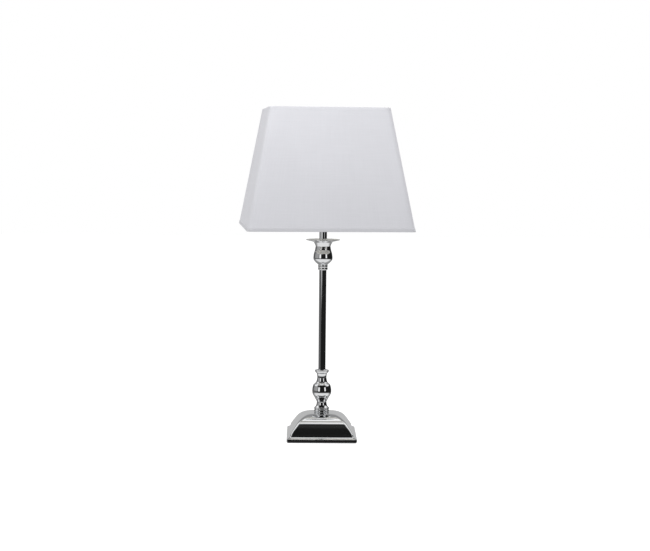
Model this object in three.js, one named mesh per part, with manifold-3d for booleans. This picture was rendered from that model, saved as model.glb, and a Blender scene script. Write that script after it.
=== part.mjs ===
// A table lamp: a turned chrome stem on a weighted square base, and a square tapered fabric shade.
// Millimetres, +Z up. The origin is on the stem's axis, in the plane that the felt rests on.
import * as THREE from 'three';
import { mergeVertices } from 'three/addons/utils/BufferGeometryUtils.js';
import Module from 'manifold-3d';

const wasm = await Module();
wasm.setup();

// Clearances
const seatGap = 0.3;
const rodClearance = 0.4;
const tubeClearance = 0.3;
const threadClearance = 0.4;

// How far a cutting tool reaches past what it cuts
const overcut = 1;

// Base: felt, cover plate and hollow shell
const feltThickness = 1.5;
const feltInset = 1;
const coverThickness = 1.2;
const coverClearance = 0.4;
const shellWall = 2.2;
const plinthHalf = 63.3;
const plinthHeight = 5.5;
const plinthCorner = 3;
const plinthEdge = 0.5;
const innerCorner = 2;
const ledgeWidth = 5.6;
const ledgeRise = 1.3;
const ledgeInset = 0.5;
const coveWidth = 2.6;
const coveHeight = 3.7;
const domeRise = 34.1;
const domeCorner = 3.5;
const domeFlank = 56.5;
const shoulderRadius = 36;
const crownTilt = 8;
const crownHalf = 15;
const shoulderSteps = 7;

// Iron weight in the base, with a channel for the flex
const weightGap = 1.8;
const weightShoulder = 9;
const weightHeight = 21;
const weightCorner = 6;
const weightBore = 12;
const channelWidth = 16;
const channelFloor = 6;

// Bushing of the flex inlet, in the back of the dome
const inletHeight = 19;
const inletBore = 3.4;
const bushNeck = 4.8;
const bushFlange = 6.4;
const bushFlangeThickness = 1.5;
const bushChamfer = 1;
const bushLip = 5.8;
const bushClearance = 0.4;

// Tie rod that clamps the stem, with its nut and washer
const rodRadius = 5;
const rodBore = 3.6;
const rodTail = 12;
const rodIntoHolder = 12;
const nutAcrossFlats = 17;
const nutHeight = 5;
const washerRadius = 14;
const washerThickness = 1.8;

// Turned stem, from the base up: height and radii of each piece
const beadHeight = 4.4;
const beadRadius = 13.7;
const beadGroove = 12;
const beadMeetAngle = 80;
const waistHeight = 10.6;
const waistFoot = 12.1;
const waistThroat = 8.9;
const waistTop = 9.1;
const vaseHeight = 44;
const vaseFoot = 9.1;
const vaseBelly = 17.6;
const vaseNeck = 8.5;
const tulipHeight = 14.3;
const tulipFoot = 8.5;
const tulipRim = 12.7;
const tulipLip = 1.3;
const tubeSocket = 8.5;
const tubeRadius = 6.6;
const tubeWall = 1;
const columnShown = 184;
const collarHeight = 9.5;
const collarRadius = 8.7;
const collarGroove = 7.9;
const collarSocket = 3;
const urnHeight = 33.7;
const urnFoot = 8.6;
const urnBelly = 17.6;
const urnNeck = 13.6;
const panHeight = 12.4;
const panNeck = 13.6;
const panBell = 17.6;
const panBellHeight = 7.6;
const panRadius = 31;
const panEdge = 0.8;
const panFloor = 2.2;
const panFloorRadius = 13.6;
const panUndercut = 0.2;
const panSeat = 9.9;
const upperTubeRadius = 6.9;
const upperTubeLength = 31;

// Lampholder: cap, sleeve, insert, screw shell and shade rings
const seatWasherRadius = 9.5;
const seatWasherThickness = 1.2;
const holderCapHeight = 18;
const holderCapFoot = 9;
const holderCapRadius = 19.6;
const holderCapWall = 2;
const holderCapThroat = 8.5;
const holderSleeveRadius = 19.6;
const holderSleeveHeight = 38;
const holderSleeveBore = 15.4;
const holderSleeveChamfer = 1;
const insertRadius = 18.2;
const insertHeight = 6;
const insertFit = 0.3;
const insertHeadroom = 0.5;
const shellBore = 13.35;
const shellThickness = 0.5;
const shellLength = 25;
const shellLift = 1.5;
const shellLip = 3;
const tabWidth = 4;
const tabLength = 16;
const tabThickness = 0.8;
const tabRise = 1.9;
const tabSetback = 2;
const tabBendShift = 0.3;
const grubRadius = 1.5;
const grubLength = 5;
const grubHeight = 5;
const grubClearance = 0.2;
const ringFlangeRadius = 27.5;
const ringFlangeThickness = 2;
const ringSleeveWall = 2.6;
const lowerRingHeight = 8;
const upperRingHeight = 10;
const ringPosition = 8;

// Bulb with a 27 mm screw cap
const bulbContactRadius = 4.6;
const bulbContactHeight = 1.4;
const bulbContactMargin = 0.8;
const bulbInsulatorRadius = 10.8;
const bulbInsulatorHeight = 3.4;
const bulbCapRadius = 12.9;
const bulbCapHeight = 22;
const bulbCapTaper = 2.5;
const bulbCollar = 13.5;
const bulbNeck = 14.1;
const bulbBelly = 30;
const bulbGlassHeight = 80;

// Shade: frame, liner, fabric and hems, turned a little on the stem
const shadeTurn = 5.2;
const shadeHeight = 214.7;
const shadeBottomHalf = 146.4;
const shadeTopHalf = 106;
const shadeCorner = 10;
const fabricThickness = 0.8;
const linerThickness = 0.8;
const hemThickness = 0.5;
const hemWidth = 6;
const seamWidth = 7;
const seamPlace = 88;
const wireRadius = 1.5;
const wireInset = 2.2;
const fitterBore = 21;
const fitterRadius = 30;
const fitterThickness = 1.6;
const fitterRise = 41;
const armLead = 9;

// Outlines of the turnings: shares of the piece's height, and of the way from its narrow to its wide radius
const waistShares = [[0, 1], [0.16, 0.62], [0.34, 0.32], [0.55, 0.14], [0.82, 0]];
const vaseSwellShares = [
  [0, 0], [0.045, 0.12], [0.089, 0.26], [0.132, 0.376], [0.173, 0.48], [0.216, 0.62], [0.257, 0.765],
  [0.3, 0.87], [0.343, 0.94], [0.398, 0.988], [0.448, 1],
];
const vaseShoulderShares = [
  [0.5, 0.989], [0.555, 0.956], [0.602, 0.912], [0.648, 0.857], [0.684, 0.797], [0.723, 0.68],
  [0.766, 0.45], [0.807, 0.23], [0.85, 0.137], [0.898, 0.088], [0.943, 0.038], [1, 0],
];
const tulipShares = [
  [0, 0], [0.2, 0.03], [0.35, 0.1], [0.5, 0.2], [0.585, 0.33], [0.64, 0.62], [0.71, 0.82], [0.8, 0.94],
];
const urnSwellShares = [
  [0, 0], [0.039, 0.133], [0.089, 0.367], [0.142, 0.589], [0.196, 0.756], [0.252, 0.889],
  [0.306, 0.967], [0.371, 1], [0.445, 0.983],
];
const urnShoulderShares = [
  [0.531, 0.875], [0.6, 0.79], [0.674, 0.61], [0.733, 0.44], [0.786, 0.3], [0.852, 0.205],
  [0.926, 0.1], [1, 0],
];
const panDishShares = [[0.3, 0.4], [0.57, 0.62], [0.87, 0.9]];

// Facets of turned pieces, rounded corners and wires
const turnedSides = 28;
const smallSides = 20;
const cornerSteps = 5;
const wireSides = 8;

// Heights of the seats, each worked out from the piece below it
const rodHole = rodRadius + rodClearance;
const coverTop = feltThickness + coverThickness;
const flankAngle = THREE.MathUtils.degToRad(domeFlank);
const tiltAngle = THREE.MathUtils.degToRad(crownTilt);
const domeFootHalf = plinthHalf - ledgeWidth;
const weightFootHalf = domeFootHalf - shellWall / Math.sin(flankAngle) - weightGap;
const weightTopHalf = weightFootHalf - (weightHeight - weightShoulder) / Math.tan(flankAngle);
const domeFoot = feltThickness + plinthHeight + ledgeRise + coveHeight;
const crownTop = domeFoot + domeRise;
const waistBottom = crownTop + 2 * beadHeight;
const vaseBottom = waistBottom + waistHeight;
const tulipBottom = vaseBottom + vaseHeight;
const tulipTop = tulipBottom + tulipHeight;
const columnBottom = tulipTop - tubeSocket;
const collarBottom = tulipTop + columnShown;
const columnTop = collarBottom + collarSocket;
const urnBottom = collarBottom + collarHeight;
const panBottom = urnBottom + urnHeight;
const upperTubeBottom = panBottom + panSeat - panFloor / 2;
const upperTubeTop = upperTubeBottom + upperTubeLength;
const holderCapBottom = upperTubeTop + seatWasherThickness;
const sleeveBottom = holderCapBottom + holderCapHeight;
const insertTop = sleeveBottom + insertHeight;
const sleeveTop = sleeveBottom + holderSleeveHeight;
const lowerRingBottom = sleeveBottom + ringPosition;
const fitterBottom = lowerRingBottom + lowerRingHeight + seatGap;
const upperRingBottom = fitterBottom + fitterThickness + seatGap;
const bulbBottom = insertTop + tabRise + tabThickness + seatGap;
const insulatorBottom = bulbBottom + bulbContactHeight + seatGap / 2;
const bulbCapBottom = insulatorBottom + bulbInsulatorHeight;
const glassBottom = bulbCapBottom + bulbCapHeight;
const shadeBottom = fitterBottom - fitterRise;
const shadeSlope = (shadeBottomHalf - shadeTopHalf) / shadeHeight;

const colours = {
  chrome: [0xd9dbde, 0.06, 1],
  steel: [0xa9abad, 0.35, 1],
  brass: [0xb9954a, 0.3, 1],
  iron: [0x3a3a3c, 0.7, 0.6],
  felt: [0x1c1c1e, 0.95, 0],
  bushing: [0x1b1b1c, 0.55, 0],
  holder: [0xe9e9e6, 0.4, 0],
  ceramic: [0xefece4, 0.35, 0],
  glass: [0xf7f5ee, 0.3, 0],
  wire: [0xe6e6e4, 0.4, 0.1],
  fabric: [0xd9d9dd, 0.9, 0],
  liner: [0xf1f0ec, 0.5, 0],
};

function piece(name, geometry, colour) {
  const [color, roughness, metalness] = colours[colour];
  const mesh = new THREE.Mesh(geometry, new THREE.MeshStandardMaterial({ color, roughness, metalness }));
  mesh.name = name;
  return mesh;
}

const mix = THREE.MathUtils.lerp;

// Points of an elliptical arc in an outline of radius against height, angles in degrees
function arc(centreRadius, centreHeight, radiusReach, heightReach, from, to, steps) {
  const points = [];
  for (let i = 0; i <= steps; i += 1) {
    const angle = THREE.MathUtils.degToRad(mix(from, to, i / steps));
    points.push([centreRadius + radiusReach * Math.cos(angle), centreHeight + heightReach * Math.sin(angle)]);
  }
  return points;
}

// A smooth outline through a few chosen points
function smooth(points, steps) {
  const curve = new THREE.SplineCurve(points.map(([radius, height]) => new THREE.Vector2(radius, height)));
  return curve.getPoints(steps).map((point) => [point.x, point.y]);
}

// Points of an outline given as shares of a height and of the way between two radii
function between(shares, bottom, height, narrow, wide) {
  return shares.map(([up, out]) => [mix(narrow, wide, out), bottom + up * height]);
}

// Revolves an outline about +Z: it runs up the outside, and starts and ends on the axis
function turned(outline, sides = turnedSides) {
  const geometry = new THREE.LatheGeometry(outline.map(([r, z]) => new THREE.Vector2(r, z)), sides);
  geometry.rotateX(Math.PI / 2);
  return geometry;
}

// Revolves an outside outline around a straight bore
function bored(outline, bore, sides = turnedSides) {
  const [, bottom] = outline[0];
  const [, top] = outline[outline.length - 1];
  return turned([...outline, [bore, top], [bore, bottom], outline[0]], sides);
}

function tube(radius, bore, bottom, top, sides = turnedSides) {
  return bored([[radius, bottom], [radius, top]], bore, sides);
}

// The points of a square of the given half side with rounded corners
function roundedSquare({ half, corner, z }) {
  const points = [];
  for (let side = 0; side < 4; side += 1) {
    const diagonal = Math.PI / 4 + side * Math.PI / 2;
    const reach = (half - corner) * Math.SQRT2;
    for (let step = 0; step < cornerSteps; step += 1) {
      const angle = diagonal + ((step + 0.5) / cornerSteps - 0.5) * Math.PI / 2;
      points.push(
        reach * Math.cos(diagonal) + corner * Math.cos(angle),
        reach * Math.sin(diagonal) + corner * Math.sin(angle),
        z,
      );
    }
  }
  return points;
}

// Lofts rounded squares into one skin: a closed loop of them has a hole, an open list gets flat ends
function squareLoft(rings, closed) {
  const count = 4 * cornerSteps;
  const positions = rings.flatMap(roundedSquare);
  const faces = [];
  const bands = closed ? rings.length : rings.length - 1;
  for (let ring = 0; ring < bands; ring += 1) {
    const next = (ring + 1) % rings.length;
    for (let i = 0; i < count; i += 1) {
      const j = (i + 1) % count;
      faces.push(ring * count + i, ring * count + j, next * count + j);
      faces.push(ring * count + i, next * count + j, next * count + i);
    }
  }
  if (!closed) {
    const top = (rings.length - 1) * count;
    for (let i = 1; i < count - 1; i += 1) {
      faces.push(0, i + 1, i);
      faces.push(top, top + i, top + i + 1);
    }
  }
  const geometry = new THREE.BufferGeometry();
  geometry.setAttribute('position', new THREE.Float32BufferAttribute(positions, 3));
  geometry.setIndex(faces);
  return geometry;
}

// A flat square wall of even thickness between two heights, open above and below
function squareSkin(outerHalf, thickness, corner, bottom, top) {
  const ring = (z, inset) => ({ half: outerHalf(z) - inset, corner: corner - inset, z });
  return squareLoft([ring(bottom, 0), ring(top, 0), ring(top, thickness), ring(bottom, thickness)], true);
}

// A wire bent to a square ring with rounded corners
function squareWire(half, corner, z) {
  const rings = [];
  for (let i = 0; i < wireSides; i += 1) {
    const angle = i / wireSides * 2 * Math.PI;
    const out = wireRadius * Math.cos(angle);
    rings.push({ half: half + out, corner: corner + out, z: z + wireRadius * Math.sin(angle) });
  }
  return squareLoft(rings, true);
}

function toSolid(geometry) {
  const bare = geometry.clone();
  bare.deleteAttribute('normal');
  bare.deleteAttribute('uv');
  const welded = mergeVertices(bare, 0.0001);
  const vertProperties = new Float32Array(welded.attributes.position.array);
  const triVerts = new Uint32Array(welded.index.array);
  return new wasm.Manifold(new wasm.Mesh({ numProp: 3, vertProperties, triVerts }));
}

function cut(geometry, ...tools) {
  let solid = toSolid(geometry);
  for (const tool of tools) {
    solid = solid.subtract(toSolid(tool));
  }
  const mesh = solid.getMesh();
  const result = new THREE.BufferGeometry();
  result.setAttribute('position', new THREE.BufferAttribute(new Float32Array(mesh.vertProperties), 3));
  result.setIndex(new THREE.BufferAttribute(new Uint32Array(mesh.triVerts), 1));
  return result;
}

// The dome's side in profile: a straight flank, a round shoulder and a crown that rises gently to its seat
function domeRings(inset) {
  const fall = Math.tan(flankAngle);
  const slope = Math.tan(tiltAngle);
  const meetHalf = (fall * domeFootHalf - slope * crownHalf - domeRise) / (fall - slope);
  const meetZ = domeFoot + fall * (domeFootHalf - meetHalf);
  const middle = (flankAngle + tiltAngle) / 2;
  const back = shoulderRadius / Math.cos((flankAngle - tiltAngle) / 2);
  const rings = [];
  const place = (half, z) => {
    const inward = (domeFootHalf - half) / (domeFootHalf - crownHalf);
    rings.push({ half, corner: mix(domeCorner, crownHalf, inward ** 2), z });
  };
  place(domeFootHalf - inset / Math.sin(flankAngle), domeFoot);
  for (let i = 0; i <= shoulderSteps; i += 1) {
    const angle = mix(flankAngle, tiltAngle, i / shoulderSteps);
    const reach = shoulderRadius - inset;
    const half = meetHalf - back * Math.sin(middle) + reach * Math.sin(angle);
    place(half, meetZ - back * Math.cos(middle) + reach * Math.cos(angle));
  }
  place(crownHalf, crownTop - inset);
  return rings;
}

// Where the flex inlet meets the flank: its distance from the axis, and how far its normal tips up
function inletSeat() {
  return {
    y: domeFootHalf - (inletHeight - domeFoot) / Math.tan(flankAngle),
    tip: Math.PI / 2 - flankAngle,
  };
}

function baseShell() {
  const plinthTop = feltThickness + plinthHeight;
  const ledgeTop = plinthTop + ledgeRise;
  const ledgeInner = domeFootHalf + coveWidth;
  const coveInner = domeFootHalf + 0.4 * coveWidth - shellWall;
  const outside = [
    { half: plinthHalf, corner: plinthCorner, z: feltThickness },
    { half: plinthHalf, corner: plinthCorner, z: plinthTop - plinthEdge },
    { half: plinthHalf - plinthEdge, corner: plinthCorner, z: plinthTop },
    { half: ledgeInner, corner: domeCorner, z: ledgeTop },
    { half: domeFootHalf + 0.42 * coveWidth, corner: domeCorner, z: ledgeTop + 0.22 * coveHeight },
    { half: domeFootHalf + 0.12 * coveWidth, corner: domeCorner, z: ledgeTop + 0.6 * coveHeight },
    ...domeRings(0),
  ];
  const inside = [
    ...domeRings(shellWall).reverse(),
    { half: coveInner, corner: domeCorner, z: ledgeTop + 0.06 * coveHeight },
    { half: ledgeInner - ledgeInset, corner: domeCorner, z: ledgeTop - shellWall },
    { half: plinthHalf - shellWall, corner: innerCorner, z: plinthTop - shellWall },
    { half: plinthHalf - shellWall, corner: innerCorner, z: feltThickness },
  ];
  const holeTop = { half: rodHole, corner: rodHole, z: crownTop };
  const holeBottom = { half: rodHole, corner: rodHole, z: crownTop - shellWall };
  const shell = squareLoft([...outside, holeTop, holeBottom, ...inside], true);
  const drillRadius = bushNeck + bushClearance;
  const reach = 3 * shellWall;
  const drill = turned([[0, -reach], [drillRadius, -reach], [drillRadius, reach], [0, reach]], smallSides);
  const { y, tip } = inletSeat();
  drill.rotateX(tip - Math.PI / 2);
  drill.translate(0, y, inletHeight);
  return piece('base_shell', cut(shell, drill), 'chrome');
}

function feltPad() {
  const half = plinthHalf - feltInset;
  const rings = [0, feltThickness].map((z) => ({ half, corner: plinthCorner, z }));
  return piece('felt_pad', squareLoft(rings, false), 'felt');
}

function bottomPlate() {
  const half = plinthHalf - shellWall - coverClearance;
  const rings = [feltThickness, coverTop].map((z) => ({ half, corner: innerCorner, z }));
  return piece('bottom_plate', squareLoft(rings, false), 'steel');
}

function baseWeight() {
  const block = squareLoft([
    { half: weightFootHalf, corner: weightCorner, z: coverTop },
    { half: weightFootHalf, corner: weightCorner, z: coverTop + weightShoulder },
    { half: weightTopHalf, corner: weightCorner, z: coverTop + weightHeight },
  ], false);
  const above = coverTop + weightHeight + overcut;
  const below = coverTop - overcut;
  const bore = turned([[0, below], [weightBore, below], [weightBore, above], [0, above]], smallSides);
  const channel = new THREE.BoxGeometry(channelWidth, weightFootHalf + 2 * overcut, weightHeight);
  channel.translate(0, weightFootHalf / 2 + overcut, coverTop + channelFloor + weightHeight / 2);
  return piece('base_weight', cut(block, bore, channel), 'iron');
}

function cordGrommet() {
  const outside = [
    [bushFlange, seatGap],
    [bushFlange, seatGap + bushFlangeThickness * 0.5],
    [bushFlange - bushChamfer, seatGap + bushFlangeThickness],
  ];
  const inward = -shellWall - seatGap;
  const inside = [
    [bushLip, inward - bushFlangeThickness],
    [bushLip, inward],
    [bushNeck, inward],
    [bushNeck, seatGap],
  ];
  const grommet = piece('cord_grommet', bored([...inside, ...outside], inletBore, smallSides), 'bushing');
  const { y, tip } = inletSeat();
  grommet.rotation.x = tip - Math.PI / 2;
  grommet.position.set(0, y, inletHeight);
  return grommet;
}

function clampParts() {
  const washerTop = crownTop - shellWall;
  const nutTop = washerTop - washerThickness;
  const nutBottom = nutTop - nutHeight;
  const rod = tube(rodRadius, rodBore, nutBottom - rodTail, holderCapBottom + rodIntoHolder, smallSides);
  return [
    piece('base_washer', tube(washerRadius, rodHole, nutTop, washerTop, smallSides), 'steel'),
    piece('base_nut', hexNut(nutBottom), 'steel'),
    piece('tie_rod', rod, 'steel'),
  ];
}

function hexNut(bottom) {
  const outline = new THREE.Shape();
  const corner = nutAcrossFlats / Math.sqrt(3);
  outline.moveTo(corner, 0);
  for (let i = 1; i < 6; i += 1) {
    outline.lineTo(corner * Math.cos(i * Math.PI / 3), corner * Math.sin(i * Math.PI / 3));
  }
  outline.closePath();
  outline.holes.push(new THREE.Path().absarc(0, 0, rodHole, 0, 2 * Math.PI, true));
  const settings = { depth: nutHeight, bevelEnabled: false, curveSegments: smallSides };
  return new THREE.ExtrudeGeometry(outline, settings).translate(0, 0, bottom);
}

// Two half-round beads, one above the other, with a groove between them
function beads(bottom, height, radius, groove, steps) {
  const points = [];
  for (let bead = 0; bead < 2; bead += 1) {
    const centre = bottom + (bead + 0.5) * height;
    const lower = bead === 0 ? -90 : -beadMeetAngle;
    const upper = bead === 0 ? beadMeetAngle : 90;
    points.push(...arc(groove, centre, radius - groove, height / 2, lower, upper, steps));
  }
  return points;
}

function beadRing() {
  const outline = beads(crownTop, beadHeight, beadRadius, beadGroove, 7);
  return piece('bead_ring', bored(outline, rodHole), 'chrome');
}

function waistCollar() {
  const below = between(waistShares, waistBottom, waistHeight, waistThroat, waistFoot);
  const outline = smooth([...below, [waistTop, vaseBottom]], 9);
  return piece('waist_collar', bored(outline, rodHole), 'chrome');
}

function lowerVase() {
  const outline = smooth([
    ...between(vaseSwellShares, vaseBottom, vaseHeight, vaseFoot, vaseBelly),
    ...between(vaseShoulderShares, vaseBottom, vaseHeight, vaseNeck, vaseBelly),
  ], 22);
  return piece('lower_vase', bored(outline, rodHole), 'chrome');
}

function tulipCollar() {
  const socket = tubeRadius + tubeClearance;
  const outline = [
    ...smooth(between(tulipShares, tulipBottom, tulipHeight, tulipFoot, tulipRim), 10),
    [tulipRim, tulipTop - tulipLip],
    [tulipRim, tulipTop - tulipLip / 2],
    [tulipRim - tulipLip / 2, tulipTop],
    [tulipRim - 2 * tulipLip, tulipTop],
    [socket, tulipTop - tulipLip],
    [socket, columnBottom],
    [rodHole, columnBottom],
    [rodHole, tulipBottom],
    [tulipFoot, tulipBottom],
  ];
  return piece('tulip_collar', turned(outline), 'chrome');
}

function columnTube() {
  return piece('column_tube', tube(tubeRadius, tubeRadius - tubeWall, columnBottom, columnTop), 'chrome');
}

function upperCollar() {
  const socket = tubeRadius + tubeClearance;
  const outline = beads(collarBottom, collarHeight / 2, collarRadius, collarGroove, 5);
  const inside = [
    [rodHole, urnBottom],
    [rodHole, columnTop],
    [socket, columnTop],
    [socket, collarBottom],
    outline[0],
  ];
  return piece('upper_collar', turned([...outline, ...inside]), 'chrome');
}

function urn() {
  const outline = smooth([
    ...between(urnSwellShares, urnBottom, urnHeight, urnFoot, urnBelly),
    ...between(urnShoulderShares, urnBottom, urnHeight, urnNeck, urnBelly),
  ], 17);
  return piece('urn', bored(outline, rodHole), 'chrome');
}

function dripPan() {
  const bell = panBottom + panBellHeight;
  const rim = panBottom + panHeight;
  const socket = upperTubeRadius + tubeClearance;
  const outline = [
    [panNeck, panBottom],
    [mix(panNeck, panBell, 0.2), mix(panBottom, bell, 0.29)],
    [mix(panNeck, panBell, 0.43), mix(panBottom, bell, 0.54)],
    [mix(panNeck, panBell, 0.7), mix(panBottom, bell, 0.8)],
    [panBell, bell],
    ...panDishShares.map(([out, up]) => [
      mix(panBell, panRadius, out),
      mix(bell, rim - panEdge, up) - panUndercut,
    ]),
    [panRadius, rim - panEdge],
    [panRadius, rim],
    [mix(panBell, panRadius, 0.8), rim - panEdge],
    [mix(panBell, panRadius, 0.4), mix(bell, rim, 0.6) + panEdge / 4],
    [panFloorRadius, bell + panFloor],
    [socket, bell + panFloor],
    [socket, upperTubeBottom],
    [rodHole, upperTubeBottom],
    [rodHole, panBottom],
    [panNeck, panBottom],
  ];
  return piece('drip_pan', turned(outline), 'chrome');
}

function upperTube() {
  const skin = tube(upperTubeRadius, upperTubeRadius - tubeWall, upperTubeBottom, upperTubeTop);
  return piece('upper_tube', skin, 'chrome');
}

function holderCap() {
  const floor = holderCapBottom + holderCapWall;
  const top = sleeveBottom;
  const outline = [
    [holderCapFoot, holderCapBottom],
    [holderCapFoot, holderCapBottom + 0.4 * holderCapHeight],
    ...arc(holderCapFoot, top - 0.1 * holderCapHeight, holderCapRadius - holderCapFoot,
      -0.5 * holderCapHeight, 90, 0, 6).slice(0, -1),
    [holderCapRadius, top - 0.1 * holderCapHeight],
    [holderCapRadius, top],
    [holderCapRadius - holderCapWall, top],
    [holderCapRadius - holderCapWall, top - 0.2 * holderCapHeight],
    [holderCapFoot, top - 0.45 * holderCapHeight],
    [holderCapThroat, floor + 0.35 * holderCapHeight],
    [rodHole, floor + 0.35 * holderCapHeight],
    [rodHole, holderCapBottom],
    [holderCapFoot, holderCapBottom],
  ];
  const cap = turned(outline, smallSides);
  const drill = grub(grubRadius + grubClearance, grubLength + 2 * overcut);
  return piece('holder_cap', cut(cap, drill), 'holder');
}

// The set screw's cylinder, from just clear of the rod outwards along +X
function grub(radius, length) {
  const start = rodRadius + seatGap;
  const geometry = turned([[0, 0], [radius, 0], [radius, length], [0, length]], 12);
  geometry.rotateY(Math.PI / 2);
  geometry.translate(start, 0, holderCapBottom + grubHeight);
  return geometry;
}

function holderInside() {
  const insert = bored([
    [insertRadius, sleeveBottom],
    [insertRadius, insertTop],
  ], rodBore, smallSides);
  const shellBottom = insertTop + shellLift;
  const shell = turned([
    [shellBore + shellThickness, insertTop],
    [shellBore + shellThickness, shellBottom + shellLength],
    [shellBore, shellBottom + shellLength],
    [shellBore, insertTop + shellThickness],
    [shellBore - shellLip, insertTop + shellThickness],
    [shellBore - shellLip, insertTop],
    [shellBore + shellThickness, insertTop],
  ], turnedSides);
  return [
    piece('holder_insert', insert, 'ceramic'),
    piece('screw_shell', shell, 'brass'),
    piece('holder_contact', contactTab(), 'brass'),
  ];
}

// A spring tab: fixed flat on the insert, then sprung up under the bulb's contact
function contactTab() {
  const shape = new THREE.Shape();
  const foot = -tabLength / 2;
  const bend = foot + 0.3 * tabLength;
  const crest = bend + 0.3 * tabLength;
  shape.moveTo(foot, 0);
  shape.lineTo(bend, 0);
  shape.lineTo(crest, tabRise);
  shape.lineTo(-foot - tabSetback, tabRise);
  shape.lineTo(-foot - tabSetback, tabRise + tabThickness);
  shape.lineTo(crest - tabBendShift, tabRise + tabThickness);
  shape.lineTo(bend - tabBendShift, tabThickness);
  shape.lineTo(foot, tabThickness);
  shape.closePath();
  const geometry = new THREE.ExtrudeGeometry(shape, { depth: tabWidth, bevelEnabled: false });
  geometry.translate(0, 0, -tabWidth / 2);
  geometry.rotateX(Math.PI / 2);
  geometry.translate(0, 0, insertTop);
  return geometry;
}

function holderSleeve() {
  const step = insertTop + shellThickness + insertHeadroom;
  const outline = [
    [holderSleeveRadius, sleeveBottom],
    [holderSleeveRadius, sleeveTop - holderSleeveChamfer],
    [holderSleeveRadius - holderSleeveChamfer, sleeveTop],
    [holderSleeveBore, sleeveTop],
    [holderSleeveBore, step],
    [insertRadius + insertFit, step],
    [insertRadius + insertFit, sleeveBottom],
    [holderSleeveRadius, sleeveBottom],
  ];
  return piece('holder_sleeve', turned(outline), 'holder');
}

// A threaded ring with a wide flange on the side that holds the shade's fitter
function shadeRing(name, bottom, height, flangeOnTop) {
  const bore = holderSleeveRadius + threadClearance;
  const outer = bore + ringSleeveWall;
  const top = bottom + height;
  const sleeve = flangeOnTop ? [[outer, bottom], [outer, top - ringFlangeThickness]] : [];
  const rest = flangeOnTop ? [] : [[outer, bottom + ringFlangeThickness], [outer, top]];
  const flangeBottom = flangeOnTop ? top - ringFlangeThickness : bottom;
  const flange = [
    [ringFlangeRadius, flangeBottom],
    [ringFlangeRadius, flangeBottom + ringFlangeThickness],
  ];
  return piece(name, bored([...sleeve, ...flange, ...rest], bore), 'holder');
}

function bulb() {
  const contact = turned([
    [0, bulbBottom],
    [bulbContactRadius * 0.7, bulbBottom],
    [bulbContactRadius, bulbBottom + bulbContactHeight * 0.6],
    [bulbContactRadius, bulbBottom + bulbContactHeight],
    [0, bulbBottom + bulbContactHeight],
  ], smallSides);
  const insulator = turned([
    [0, insulatorBottom],
    [bulbContactRadius + bulbContactMargin, insulatorBottom],
    [bulbInsulatorRadius, bulbCapBottom],
    [0, bulbCapBottom],
  ], smallSides);
  const cap = turned([
    [0, bulbCapBottom],
    [bulbInsulatorRadius, bulbCapBottom],
    [bulbCapRadius, bulbCapBottom + bulbCapTaper],
    [bulbCapRadius, glassBottom],
    [0, glassBottom],
  ], turnedSides);
  const at = (share) => glassBottom + share * bulbGlassHeight;
  const crown = at(1) - bulbBelly;
  const glass = turned([
    [0, glassBottom],
    ...smooth([
      [bulbCollar, at(0)],
      [bulbNeck, at(0.07)],
      [mix(bulbNeck, bulbBelly, 0.3), at(0.25)],
      [mix(bulbNeck, bulbBelly, 0.85), at(0.48)],
      [bulbBelly, crown],
    ], 9).slice(0, -1),
    ...arc(0, crown, bulbBelly, bulbBelly, 0, 90, 7),
  ]);
  return [
    piece('bulb_contact', contact, 'brass'),
    piece('bulb_insulator', insulator, 'bushing'),
    piece('bulb_cap', cap, 'steel'),
    piece('bulb_globe', glass, 'glass'),
  ];
}

// Half the side of the shade's cloth at a height above its bottom edge
function shadeHalf(height) {
  return shadeBottomHalf - shadeSlope * height;
}

function shadeSkins() {
  const linerInset = fabricThickness + seatGap;
  const hemOut = seatGap + hemThickness;
  const hemHalf = (z) => shadeHalf(z) + hemOut;
  const linerHalf = (z) => shadeHalf(z) - linerInset;
  const corner = shadeCorner;
  return [
    piece('shade_fabric', squareSkin(shadeHalf, fabricThickness, corner, 0, shadeHeight), 'fabric'),
    piece('shade_liner',
      squareSkin(linerHalf, linerThickness, corner - linerInset, 0, shadeHeight), 'liner'),
    piece('shade_hem_bottom', squareSkin(hemHalf, hemThickness, corner + hemOut, 0, hemWidth), 'fabric'),
    piece('shade_hem_top',
      squareSkin(hemHalf, hemThickness, corner + hemOut, shadeHeight - hemWidth, shadeHeight), 'fabric'),
  ];
}

// The lapped edge of the cloth, a strip down the back between the hems
function shadeSeam() {
  const tilt = Math.atan(shadeSlope);
  const length = (shadeHeight - 2 * hemWidth - 2 * seatGap) / Math.cos(tilt);
  const seam = piece('shade_seam', new THREE.BoxGeometry(seamWidth, hemThickness, length), 'fabric');
  const outward = seatGap + hemThickness / 2;
  const middle = shadeHeight / 2;
  const y = shadeHalf(middle) + outward * Math.cos(tilt);
  seam.position.set(seamPlace, y, middle + outward * Math.sin(tilt));
  seam.rotation.x = tilt;
  return seam;
}

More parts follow.
